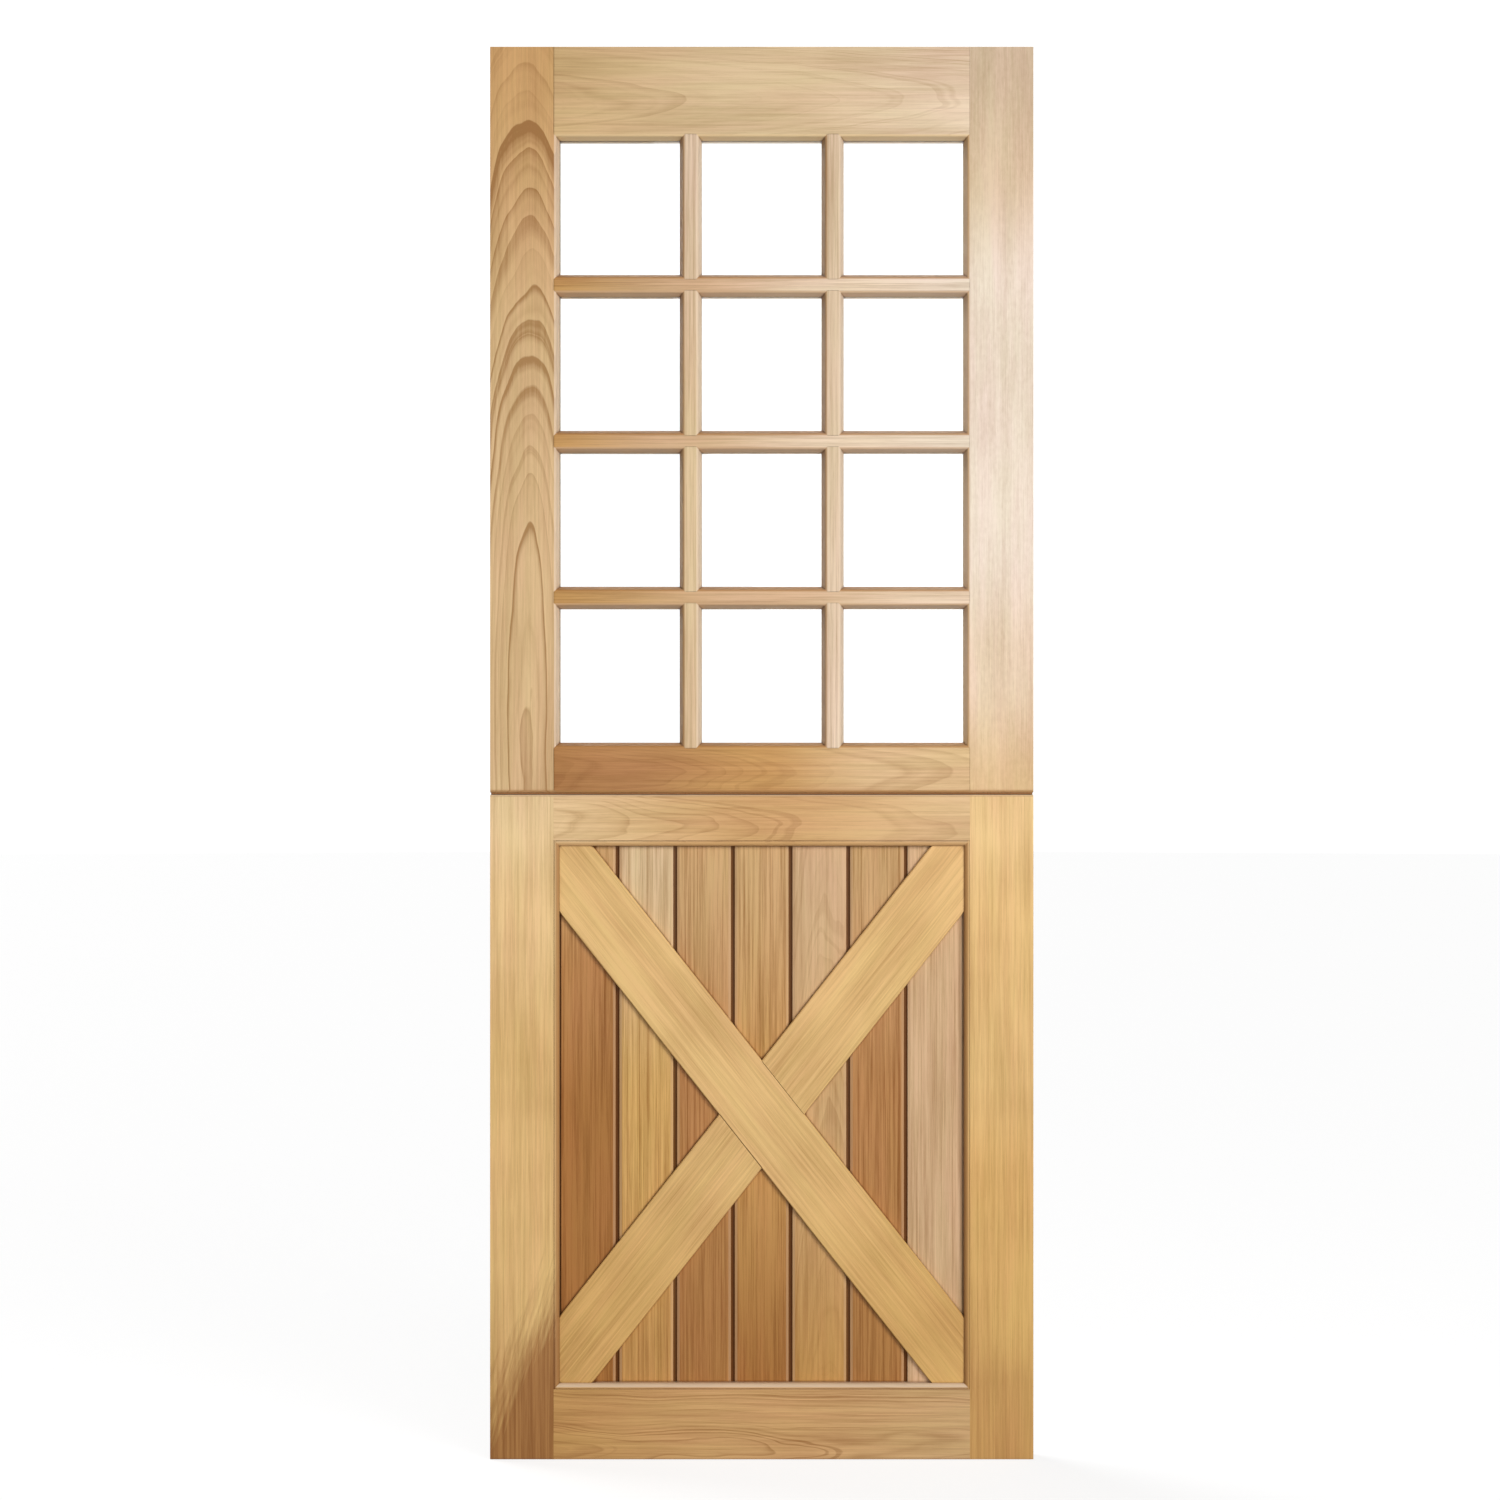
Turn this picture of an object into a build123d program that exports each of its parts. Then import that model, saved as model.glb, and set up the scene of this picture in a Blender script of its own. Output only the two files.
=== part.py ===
"""Dutch stable door: a glazed top leaf over a boarded bottom leaf, each hung on its own pair of hinges.

Millimetres. X runs across the door, Y from the outside face to the inside face, Z up.
The origin is at the middle of the bottom edge, at half the thickness.
"""

import os

from build123d import *

# The door as a whole
door_width = 762
door_height = 1981
door_thickness = 44
bottom_leaf_height = 932
meeting_gap = 3
meeting_bevel = 3
overrun = 1

# Framing timbers, moulding included
stile_width = 97
top_rail_width = 130
upper_meeting_rail_width = 70
lower_meeting_rail_width = 72
bottom_rail_width = 106

# Moulding round the glass: a steep splay with an eased arris
splay_width = 5
splay_arris_radius = 4

# Moulding round the boarding: a quarter round with a sunk quirk before it, and a plain round behind
moulding_width = 8
quirk_width = 1.5
quirk_depth = 1.2
ovolo_drop = 0.6
back_ovolo_radius = 8

# Glazing
lights_across = 3
lights_high = 4
bar_width = 31
glass_setback = 15
glass_thickness = 4
glass_clearance = 2
rebate_width = 10
bead_depth = 22
bead_splay = 5
bead_mitre_clearance = 0.1
halving_share = 0.5

# Boarding
board_count = 7
board_thickness = 16
board_setback = 16
board_gap = 4.6
board_bevel_width = 4
board_bevel_depth = 1.4
board_back_gap = 0.4
tongue_depth = 6
tongue_thickness = 5
tongue_reach = 6
tongue_clearance = 0.2
panel_groove_depth = 10
panel_edge_gap = 2
panel_clearance = 0.2
panel_end_clearance = 1

# Crossed braces: how far each end runs along the rail and along the stile from the corner
brace_thickness = 9
brace_rail_run = 46
brace_stile_run = 93
brace_arris = 1.2

# Mortise and tenon joints
tenon_thickness = 14
tenon_length = 60
tenon_haunch = 20
bar_tenon_length = 20
tenon_clearance = 0.1
mortise_end_clearance = 1

# Lift-off butt hinges: the frame flap has the lower knuckle, the leaf flap the upper one
hinge_height = 100
hinge_open_width = 75
hinge_end_distance = 150
flap_thickness = 3
flap_gap = 1
knuckle_count = 2
knuckle_diameter = 12
knuckle_clearance = 0.3
knuckle_face_clearance = 0.5
pin_diameter = 6
pin_clearance = 0.05
recess_clearance = 0.5

# Screw holes of a frame flap: an outer pair near its long edge and an inner pair near the knuckle
screw_hole_diameter = 5
outer_screw_end_distance = 12
inner_screw_end_distance = 36
outer_screw_edge_distance = 8
inner_screw_edge_distance = 18

# Depths, from the outside face to the inside face
front = -door_thickness / 2
back = door_thickness / 2
glass_front = front + glass_setback
glass_back = glass_front + glass_thickness
board_front = front + board_setback
board_back = board_front + board_thickness
brace_front = board_front - brace_thickness
tenon_middle = (board_front + board_back) / 2

# Heights
top_leaf_low = bottom_leaf_height + meeting_gap
panel_low = bottom_rail_width
panel_high = bottom_leaf_height - lower_meeting_rail_width
lights_low = top_leaf_low + upper_meeting_rail_width
lights_top = door_height - top_rail_width

# Widths
edge = door_width / 2
sight = edge - stile_width
opening_width = 2 * sight
light_width = (opening_width - (lights_across - 1) * bar_width) / lights_across
light_height = (lights_top - lights_low - (lights_high - 1) * bar_width) / lights_high
bar_web = bar_width - 2 * rebate_width
board_pitch = opening_width / board_count
top_shoulder = sight + rebate_width
bottom_shoulder = sight + panel_groove_depth

LEFT, RIGHT = -1, 1
X, Y, Z = (1, 0, 0), (0, 1, 0), (0, 0, 1)
MINUS_X, MINUS_Z = (-1, 0, 0), (0, 0, -1)
pieces = {}


def light_middle(row, column):
    """Centre of a light, counted from the left and from the bottom, as X and Z."""
    across = -sight + light_width / 2 + column * (light_width + bar_width)
    up = lights_low + light_height / 2 + row * (light_height + bar_width)
    return across, up


def glazed_outline(width):
    """Section of a glazed timber: splayed in front of the glass and rebated behind it."""
    rebate_floor = width - rebate_width
    FilletPolyline(
        (0, front), (width - splay_width, front), (width, glass_front), radius=splay_arris_radius
    )
    Polyline((width, glass_front), (rebate_floor, glass_front), (rebate_floor, back), (0, back), (0, front))


def panelled_outline(width):
    """Section of a panelled timber: quirk and quarter round, a groove for the boards, a plain round."""
    flat_edge = width - moulding_width
    round_edge = flat_edge + quirk_width
    round_top = front + ovolo_drop
    ovolo_radius = width - round_edge
    round_end = round_top + ovolo_radius
    quirk_floor = front + quirk_depth
    groove_front = board_front - panel_clearance
    groove_back = board_back + panel_clearance
    groove_floor = width - panel_groove_depth
    back_round_edge = width - back_ovolo_radius
    back_round_start = back - back_ovolo_radius
    Polyline(
        (0, back),
        (0, front),
        (flat_edge, front),
        (flat_edge, quirk_floor),
        (round_edge, quirk_floor),
        (round_edge, round_top),
    )
    CenterArc((round_edge, round_end), ovolo_radius, 270, 90)
    Polyline(
        (width, round_end),
        (width, groove_front),
        (groove_floor, groove_front),
        (groove_floor, groove_back),
        (width, groove_back),
        (width, back_round_start),
    )
    CenterArc((back_round_edge, back_round_start), back_ovolo_radius, 0, 90)
    Line((back_round_edge, back), (0, back))


def framing_blank(plane, width, length, outline, doubled=False):
    """A moulded length of timber, from its outer edge at local X 0 to its sight line at the width.

    A doubled section is mirrored about its local Y axis, as a glazing bar is.
    """
    with BuildPart() as blank:
        with BuildSketch(plane):
            with BuildLine():
                outline(width)
            make_face()
            if doubled:
                mirror(about=Plane.YZ)
        extrude(amount=length)
    return blank.part


def meeting_wedges(height, upward):
    """Wedges that bevel a leaf's meeting edge on both faces; upward is 1 where the leaf lies above."""
    past = meeting_bevel + overrun
    with BuildPart() as wedges:
        for face, inward in ((front, 1), (back, -1)):
            with BuildSketch(Plane.YZ.offset(-edge - overrun)):
                with BuildLine():
                    Polyline(
                        (face - inward * overrun, height - upward * overrun),
                        (face + inward * past, height - upward * overrun),
                        (face - inward * overrun, height + upward * past),
                        close=True,
                    )
                make_face()
            extrude(amount=2 * (edge + overrun))
    return wedges.part


def stile_blank(side, low, height, outline):
    """A stile before its joints are cut, moulded along the edge that faces the middle of the door."""
    if side == LEFT:
        plane = Plane(origin=(-edge, 0, low), x_dir=X, z_dir=Z)
    else:
        plane = Plane(origin=(edge, 0, low + height), x_dir=MINUS_X, z_dir=MINUS_Z)
    return framing_blank(plane, stile_width, height, outline)


def rail_blank(low, width, shoulder, moulded_above, outline):
    """A rail before it is scribed to the stiles, moulded along its upper or its lower edge."""
    if moulded_above:
        plane = Plane(origin=(shoulder, 0, low), x_dir=Z, z_dir=MINUS_X)
    else:
        plane = Plane(origin=(-shoulder, 0, low + width), x_dir=MINUS_Z, z_dir=X)
    return framing_blank(plane, width, 2 * shoulder, outline)


def side_tenon_plane(side, shoulder, middle):
    """Where a tenon leaves a rail or bar, at its shoulder, facing into the stile."""
    return Plane(origin=(side * shoulder, tenon_middle, middle), x_dir=Y, z_dir=(side, 0, 0))


def end_tenon_plane(column_middle, height, upward):
    """Where a tenon leaves a vertical bar, facing into the rail above or below it."""
    return Plane(origin=(column_middle, tenon_middle, height), x_dir=X, z_dir=(0, 0, upward))


def mortised_stile(blank, side, shoulder, tenons, wedges):
    """A stile with its mortises, each given as a tenon's low end, high end and length."""
    with BuildPart() as stile:
        add(blank)
        add(wedges, mode=Mode.SUBTRACT)
        for low, high, length in tenons:
            with BuildSketch(side_tenon_plane(side, shoulder, (low + high) / 2)):
                Rectangle(tenon_thickness + 2 * tenon_clearance, high - low + 2 * tenon_clearance)
            extrude(amount=length + mortise_end_clearance, mode=Mode.SUBTRACT)
    return stile.part


def scribed(blank, cutters):
    """A timber cut to the shape of those it meets; crumbs left where quirks cross are dropped."""
    with BuildPart() as cut:
        add(blank)
        add(cutters, mode=Mode.SUBTRACT)
    return cut.solids().sort_by(SortBy.VOLUME)[-1]


def scribed_rail(blank, stiles, shoulder, tenon):
    """A rail or bar cut to the stiles' moulding at both ends, with a tenon beyond each shoulder."""
    low, high, length = tenon
    body = scribed(blank, stiles)
    with BuildPart() as rail:
        add(body)
        for side in (LEFT, RIGHT):
            with BuildSketch(side_tenon_plane(side, shoulder, (low + high) / 2)):
                Rectangle(tenon_thickness, high - low)
            extrude(amount=length)
    return rail.part


def trimmed(blank, cutter):
    """A blank with another solid cut away from it."""
    with BuildPart() as piece:
        add(blank)
        add(cutter, mode=Mode.SUBTRACT)
    return piece.part


def gathered(solids):
    """Like pieces that share one node, each still a solid of its own."""
    with BuildPart() as group:
        add(solids)
    return group.part


def raised(piece, height):
    """A copy of a piece modelled at height zero, set at its own height."""
    with BuildPart() as copy:
        with Locations((0, 0, height)):
            add(piece)
    return copy.part


# Hinge places: the pin stands clear of the inside face, and both flaps lie within the leaf's edge
pin_x = edge - flap_thickness - flap_gap / 2
pin_y = back + knuckle_diameter / 2 + knuckle_face_clearance
flap_end = pin_y - hinge_open_width / 2
recess_floor = edge - 2 * flap_thickness - flap_gap
leaf_flap_face = recess_floor + flap_thickness
frame_flap_face = edge - flap_thickness
outer_screw_y = flap_end + outer_screw_edge_distance
inner_screw_y = flap_end + inner_screw_edge_distance
leaf_spans = {"bottom": (0, bottom_leaf_height), "top": (top_leaf_low, door_height)}


def hinge_middles(leaf):
    """Heights of a leaf's two hinges, the lower one first."""
    low, high = leaf_spans[leaf]
    from_end = hinge_end_distance + hinge_height / 2
    return low + from_end, high - from_end


def screw_places(middle):
    """Y and Z of the four screw holes of one flap."""
    outer = (outer_screw_y, outer_screw_end_distance)
    inner = (inner_screw_y, inner_screw_end_distance)
    for y, end_distance in (outer, inner):
        for end in (-1, 1):
            yield y, middle + end * (hinge_height / 2 - end_distance)


def hinge_stile(stile, leaf):
    """A right stile with its hinge recesses."""
    recess_front = flap_end - recess_clearance
    with BuildPart() as hung:
        add(stile)
        for middle in hinge_middles(leaf):
            with BuildSketch(Plane.YZ.offset(recess_floor)):
                with Locations(((recess_front + back + overrun) / 2, middle)):
                    Rectangle(back + overrun - recess_front, hinge_height + 2 * recess_clearance)
            extrude(amount=edge - recess_floor + overrun, mode=Mode.SUBTRACT)
    return hung.part


# Tenons of each leaf, as a low end, a high end and a length
top_rail_tenon = (lights_top + rebate_width, door_height - tenon_haunch, tenon_length)
upper_meeting_tenon = (top_leaf_low + tenon_haunch, lights_low - rebate_width, tenon_length)
lower_meeting_tenon = (panel_high + panel_groove_depth, bottom_leaf_height - tenon_haunch, tenon_length)
bottom_rail_tenon = (tenon_haunch, panel_low - panel_groove_depth, tenon_length)
bar_middles = [
    lights_low + (row + 1) * (light_height + bar_width) - bar_width / 2 for row in range(lights_high - 1)
]
bar_columns = [
    -sight + (column + 1) * (light_width + bar_width) - bar_width / 2 for column in range(lights_across - 1)
]
bar_tenons = [(z - bar_web / 2, z + bar_web / 2, bar_tenon_length) for z in bar_middles]

# Top leaf: stiles
top_wedges = meeting_wedges(top_leaf_low, 1)
top_leaf_height = door_height - top_leaf_low
top_tenons = [top_rail_tenon, upper_meeting_tenon, *bar_tenons]
top_stiles = [stile_blank(side, top_leaf_low, top_leaf_height, glazed_outline) for side in (LEFT, RIGHT)]
pieces["top_left_stile"] = mortised_stile(top_stiles[0], LEFT, top_shoulder, top_tenons, top_wedges)
top_hinge_stile = mortised_stile(top_stiles[1], RIGHT, top_shoulder, top_tenons, top_wedges)
pieces["top_right_stile"] = hinge_stile(top_hinge_stile, "top")


def rail_with_bar_mortises(rail, height, upward):
    """A rail of the top leaf with a mortise for each vertical bar."""
    with BuildPart() as mortised:
        add(rail)
        for column_middle in bar_columns:
            with BuildSketch(end_tenon_plane(column_middle, height, upward)):
                Rectangle(bar_web + 2 * tenon_clearance, tenon_thickness + 2 * tenon_clearance)
            extrude(amount=bar_tenon_length + mortise_end_clearance, mode=Mode.SUBTRACT)
    return mortised.part


# Top leaf: rails, with long shoulders behind and scribed ones in front
bar_foot = lights_low - rebate_width
bar_head = lights_top + rebate_width
top_rail = scribed_rail(
    rail_blank(lights_top, top_rail_width, top_shoulder, False, glazed_outline),
    top_stiles,
    top_shoulder,
    top_rail_tenon,
)
upper_meeting_blank = rail_blank(top_leaf_low, upper_meeting_rail_width, top_shoulder, True, glazed_outline)
upper_meeting_rail = scribed_rail(
    trimmed(upper_meeting_blank, top_wedges),
    top_stiles,
    top_shoulder,
    upper_meeting_tenon,
)
pieces["top_rail"] = rail_with_bar_mortises(top_rail, bar_head, 1)
pieces["upper_meeting_rail"] = rail_with_bar_mortises(upper_meeting_rail, bar_foot, -1)

# Top leaf: horizontal bars run through, notched behind for the vertical ones
halving_depth = glass_front + (back - glass_front) * halving_share
horizontal_bars = []
for row, (middle, tenon) in enumerate(zip(bar_middles, bar_tenons), start=1):
    blank = framing_blank(
        Plane(origin=(-top_shoulder, 0, middle), x_dir=MINUS_Z, z_dir=X),
        bar_width / 2,
        2 * top_shoulder,
        glazed_outline,
        doubled=True,
    )
    through_bar = scribed_rail(blank, top_stiles, top_shoulder, tenon)
    with BuildPart() as horizontal_bar:
        add(through_bar)
        with BuildSketch(Plane.XZ.offset(-halving_depth)):
            for column_middle in bar_columns:
                with Locations((column_middle, middle)):
                    Rectangle(bar_web, bar_width)
        extrude(amount=-(back - halving_depth + overrun), mode=Mode.SUBTRACT)
    horizontal_bars.append(horizontal_bar.part)
    pieces[f"horizontal_bar_{row}"] = horizontal_bar.part

# Top leaf: vertical bars, scribed to the horizontal ones in front and running on through their notches
for column, column_middle in enumerate(bar_columns, start=1):
    blank = framing_blank(
        Plane(origin=(column_middle, 0, bar_foot), x_dir=X, z_dir=Z),
        bar_width / 2,
        bar_head - bar_foot,
        glazed_outline,
        doubled=True,
    )
    halved_bar = scribed(blank, [top_rail, upper_meeting_rail, *horizontal_bars])
    with BuildPart() as vertical_bar:
        add(halved_bar)
        for height, upward in ((bar_foot, -1), (bar_head, 1)):
            with BuildSketch(end_tenon_plane(column_middle, height, upward)):
                Rectangle(bar_web, tenon_thickness)
            extrude(amount=bar_tenon_length)
    pieces[f"vertical_bar_{column}"] = vertical_bar.part


def glazing_bead(plane, length):
    """One mitred bead, its long edge on local X, splayed where it faces the light."""
    half = length / 2 - bead_mitre_clearance
    with BuildPart() as bead:
        with BuildSketch(plane):
            with BuildLine():
                Polyline(
                    (-half, 0),
                    (half, 0),
                    (half - rebate_width, rebate_width),
                    (rebate_width - half, rebate_width),
                    close=True,
                )
            make_face()
        extrude(amount=bead_depth)
        inside_edges = bead.faces().sort_by(Axis.Y)[-1].edges()
        chamfer(inside_edges.sort_by(SortBy.LENGTH)[-2], length=bead_splay)
    return bead.part


# Top leaf: panes in their rebates, held by four beads each
rebate_light_width = light_width + 2 * rebate_width
rebate_light_height = light_height + 2 * rebate_width
pane_width = rebate_light_width - 2 * glass_clearance
pane_height = rebate_light_height - 2 * glass_clearance
for row in range(lights_high):
    beads = []
    for column in range(lights_across):
        x, z = light_middle(row, column)
        for along, shift_x, shift_z, length in (
            (MINUS_X, 0, -rebate_light_height / 2, rebate_light_width),
            (X, 0, rebate_light_height / 2, rebate_light_width),
            (Z, -rebate_light_width / 2, 0, rebate_light_height),
            (MINUS_Z, rebate_light_width / 2, 0, rebate_light_height),
        ):
            place = Plane(origin=(x + shift_x, glass_back, z + shift_z), x_dir=along, z_dir=Y)
            beads.append(glazing_bead(place, length))
    pieces[f"glazing_beads_row_{row + 1}"] = gathered(beads)
    for column in range(lights_across):
        with BuildPart() as pane:
            with BuildSketch(Plane.XZ.offset(-glass_front)):
                with Locations(light_middle(row, column)):
                    Rectangle(pane_width, pane_height)
            extrude(amount=-glass_thickness)
        pieces[f"pane_{row + 1}_{column + 1}"] = pane.part

# Bottom leaf: stiles and rails, grooved for the boards
bottom_wedges = meeting_wedges(bottom_leaf_height, -1)
bottom_tenons = [lower_meeting_tenon, bottom_rail_tenon]
bottom_stiles = [stile_blank(side, 0, bottom_leaf_height, panelled_outline) for side in (LEFT, RIGHT)]
pieces["bottom_left_stile"] = mortised_stile(
    bottom_stiles[0], LEFT, bottom_shoulder, bottom_tenons, bottom_wedges
)
bottom_hinge_stile = mortised_stile(bottom_stiles[1], RIGHT, bottom_shoulder, bottom_tenons, bottom_wedges)
pieces["bottom_right_stile"] = hinge_stile(bottom_hinge_stile, "bottom")
lower_meeting_blank = rail_blank(
    panel_high, lower_meeting_rail_width, bottom_shoulder, False, panelled_outline
)
pieces["lower_meeting_rail"] = scribed_rail(
    trimmed(lower_meeting_blank, bottom_wedges),
    bottom_stiles,
    bottom_shoulder,
    lower_meeting_tenon,
)
pieces["bottom_rail"] = scribed_rail(
    rail_blank(0, bottom_rail_width, bottom_shoulder, True, panelled_outline),
    bottom_stiles,
    bottom_shoulder,
    bottom_rail_tenon,
)

# Bottom leaf: tongued and grooved boards with a bevelled shadow gap, held in the frame's groove
board_low = panel_low - panel_groove_depth + panel_end_clearance
board_high = panel_high + panel_groove_depth - panel_end_clearance
board_tuck = panel_groove_depth - panel_end_clearance
tongue_front = board_front + tongue_depth
tongue_back = tongue_front + tongue_thickness
gap_half = board_gap / 2
back_gap_half = board_back_gap / 2
bevel_back = board_front + board_bevel_depth
for index in range(board_count):
    left = -sight + index * board_pitch
    right = left + board_pitch
    groove_end = left + gap_half + tongue_reach + tongue_clearance
    if index == 0:
        left_edge = [
            (left - board_tuck, board_back),
            (left - board_tuck, tongue_front),
            (left + panel_edge_gap, tongue_front),
            (left + panel_edge_gap, board_front),
        ]
    else:
        left_edge = [
            (left + back_gap_half, board_back),
            (left + back_gap_half, tongue_back + tongue_clearance),
            (groove_end, tongue_back + tongue_clearance),
            (groove_end, tongue_front - tongue_clearance),
            (left + gap_half, tongue_front - tongue_clearance),
            (left + gap_half, bevel_back),
            (left + gap_half + board_bevel_width, board_front),
        ]
    if index == board_count - 1:
        right_edge = [
            (right - panel_edge_gap, board_front),
            (right - panel_edge_gap, tongue_front),
            (right + board_tuck, tongue_front),
            (right + board_tuck, board_back),
        ]
    else:
        right_edge = [
            (right - gap_half - board_bevel_width, board_front),
            (right - gap_half, bevel_back),
            (right - gap_half, tongue_front),
            (right + gap_half + tongue_reach, tongue_front),
            (right + gap_half + tongue_reach, tongue_back),
            (right - back_gap_half, tongue_back),
            (right - back_gap_half, board_back),
        ]
    with BuildPart() as board:
        with BuildSketch(Plane.XY.offset(board_low)):
            with BuildLine():
                Polyline(*left_edge, *right_edge, close=True)
            make_face()
        extrude(amount=board_high - board_low)
    pieces[f"board_{index + 1}"] = board.part


def brace_band(fall, depth, thickness, arris=0):
    """One brace's outline from corner to corner, set at a depth; fall is 1 where it falls to the right."""
    high, low = panel_high, panel_low
    with BuildPart() as band:
        with BuildSketch(Plane.XZ.offset(-depth)):
            with BuildLine():
                Polyline(
                    (-fall * sight, high),
                    (-fall * (sight - brace_rail_run), high),
                    (fall * sight, low + brace_stile_run),
                    (fall * sight, low),
                    (fall * (sight - brace_rail_run), low),
                    (-fall * sight, high - brace_stile_run),
                    close=True,
                )
            make_face()
        extrude(amount=-thickness)
        if arris:
            long_edges = band.faces().sort_by(Axis.Y)[0].edges().sort_by(SortBy.LENGTH)[-2:]
            chamfer(long_edges, length=arris)
    return band.part


# Bottom leaf: the braces are halved where they cross, and the falling one shows unbroken in front
brace_half = brace_thickness / 2
brace_middle = brace_front + brace_half
pieces["brace_falling"] = trimmed(
    brace_band(1, brace_front, brace_thickness, brace_arris), brace_band(-1, brace_middle, brace_half)
)
pieces["brace_rising"] = trimmed(
    brace_band(-1, brace_front, brace_thickness, brace_arris),
    brace_band(1, brace_front - overrun, brace_half + overrun),
)


def knuckle_span(index, play):
    """Low end and length of one knuckle about height zero, with play left between it and its neighbours."""
    pitch = hinge_height / knuckle_count
    low = index * pitch - hinge_height / 2
    high = low + pitch
    if index > 0:
        low += play
    if index < knuckle_count - 1:
        high -= play
    return low, high - low


def hinge_flap(face, outward, first_knuckle, drilled):
    """One flap at height zero: a plate with every second knuckle rolled on its long edge.

    Outward is the direction along X that its face looks. The frame flap is drilled for its screws; the leaf
    flap's screws lie flush and count as part of its plate.
    """
    own = range(first_knuckle, knuckle_count, 2)
    other = range(1 - first_knuckle, knuckle_count, 2)
    end_play = knuckle_clearance / 2
    with BuildPart() as flap:
        with BuildSketch(Plane.XY.offset(-hinge_height / 2)):
            with Locations((face - outward * flap_thickness / 2, (flap_end + pin_y) / 2)):
                Rectangle(flap_thickness, pin_y - flap_end)
        extrude(amount=hinge_height)
        for index in other:
            low, length = knuckle_span(index, -end_play)
            with BuildSketch(Plane.XY.offset(low)):
                with Locations((pin_x, pin_y)):
                    Circle(knuckle_diameter / 2 + knuckle_clearance)
            extrude(amount=length, mode=Mode.SUBTRACT)
        for index in own:
            low, length = knuckle_span(index, end_play)
            with BuildSketch(Plane.XY.offset(low)):
                with Locations((pin_x, pin_y)):
                    Circle(knuckle_diameter / 2)
            extrude(amount=length)
        with BuildSketch(Plane.XY.offset(-hinge_height / 2)):
            with Locations((pin_x, pin_y)):
                Circle(pin_diameter / 2 + pin_clearance)
        extrude(amount=hinge_height, mode=Mode.SUBTRACT)
        if drilled:
            with Locations(*[Plane(origin=(face, y, z), z_dir=(outward, 0, 0)) for y, z in screw_places(0)]):
                Hole(screw_hole_diameter / 2, flap_thickness)
    return flap.part


def hinge_pin():
    """A pin at height zero that fills both knuckles."""
    with BuildPart() as pin:
        with BuildSketch(Plane.XY.offset(-hinge_height / 2)):
            with Locations((pin_x, pin_y)):
                Circle(pin_diameter / 2)
        extrude(amount=hinge_height)
    return pin.part


# Hinges: frame flaps and pins stay with the frame, leaf flaps swing with the leaf
hinge_parts = {
    "frame_flap": hinge_flap(frame_flap_face, -1, 0, drilled=True),
    "leaf_flap": hinge_flap(leaf_flap_face, 1, 1, drilled=False),
    "pin": hinge_pin(),
}
for leaf in leaf_spans:
    for middle, level in zip(hinge_middles(leaf), ("lower", "upper")):
        for part_name, part in hinge_parts.items():
            pieces[f"{leaf}_leaf_{level}_hinge_{part_name}"] = raised(part, middle)

os.makedirs("parts", exist_ok=True)
for name, piece in pieces.items():
    piece.label = name
    export_step(piece, f"parts/{name}.step")
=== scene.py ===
"""Looks of the stable door: oiled oak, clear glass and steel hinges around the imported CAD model."""

import math
from dataclasses import dataclass

import bmesh
import bpy
from mathutils import Euler, Matrix, Vector

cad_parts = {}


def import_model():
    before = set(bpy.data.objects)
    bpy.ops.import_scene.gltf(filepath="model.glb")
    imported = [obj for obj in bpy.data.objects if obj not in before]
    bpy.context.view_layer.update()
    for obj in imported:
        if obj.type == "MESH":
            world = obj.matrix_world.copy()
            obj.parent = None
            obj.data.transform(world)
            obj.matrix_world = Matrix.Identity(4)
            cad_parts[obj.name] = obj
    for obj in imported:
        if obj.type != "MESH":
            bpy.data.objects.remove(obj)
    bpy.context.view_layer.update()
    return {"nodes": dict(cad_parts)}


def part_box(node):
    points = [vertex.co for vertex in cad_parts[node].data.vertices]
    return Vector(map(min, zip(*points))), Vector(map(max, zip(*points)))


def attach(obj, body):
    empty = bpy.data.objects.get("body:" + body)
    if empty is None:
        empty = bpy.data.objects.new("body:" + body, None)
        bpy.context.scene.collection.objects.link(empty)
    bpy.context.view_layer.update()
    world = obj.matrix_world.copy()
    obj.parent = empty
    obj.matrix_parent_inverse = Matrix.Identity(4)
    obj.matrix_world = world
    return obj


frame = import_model()
nodes = frame["nodes"]
MM = 0.001

# The photograph's frame, in its own pixels
PHOTO_SIDE = 1500
DOOR_LEFT = 489.0
DOOR_RIGHT = 1034.5
DOOR_TOP = 49.5
DOOR_BOTTOM = 1456.5

# The camera's distance from the door's face, in metres, and its sensor, in millimetres
VIEW_DISTANCE = 5.0
SENSOR_WIDTH = 36.0

# Broad lights: the way to each, how wide it looks in degrees, and its strength
KEY_LIGHT = ((0.4, -1.0, 0.2), 46.0, 0.98)
BACK_LIGHT = ((-0.8, 0.8, 0.7), 40.0, 2.3)

# Soft boxes: where each stands, the height that it looks at and its width, in metres, and its power
HIGH_BOX = ((1.6, -3.0, 1.8), 1.3, 1.5, 60.0)
LOW_BOX = ((0.0, -2.8, 0.35), 1.5, 0.8, 19.0)

# White surroundings: their strength as light, and as seen straight or through glass
WORLD_FILL = 0.12
WORLD_SEEN = 1.12

# Floor, in metres, and its finish
FLOOR_RADIUS = 30.0
FLOOR_SIDES = 96
FLOOR_DROP = 0.0005
FLOOR_GREY = 0.25
FLOOR_GLOW = 0.82
FLOOR_ROUGHNESS = 0.9
FLOOR_GLOSS = 0.1

# Light openings of the top leaf, as in the CAD, in millimetres
LIGHTS_ACROSS = 3
LIGHTS_HIGH = 4
OPENINGS_WIDTH = 506.0
OPENINGS_HEIGHT = 753.0
LIGHT_WIDTH = OPENINGS_WIDTH / LIGHTS_ACROSS
LIGHT_HEIGHT = OPENINGS_HEIGHT / LIGHTS_HIGH
BAR_WIDTH = 31.0
LIGHTS_LOW = 1005.0

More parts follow.
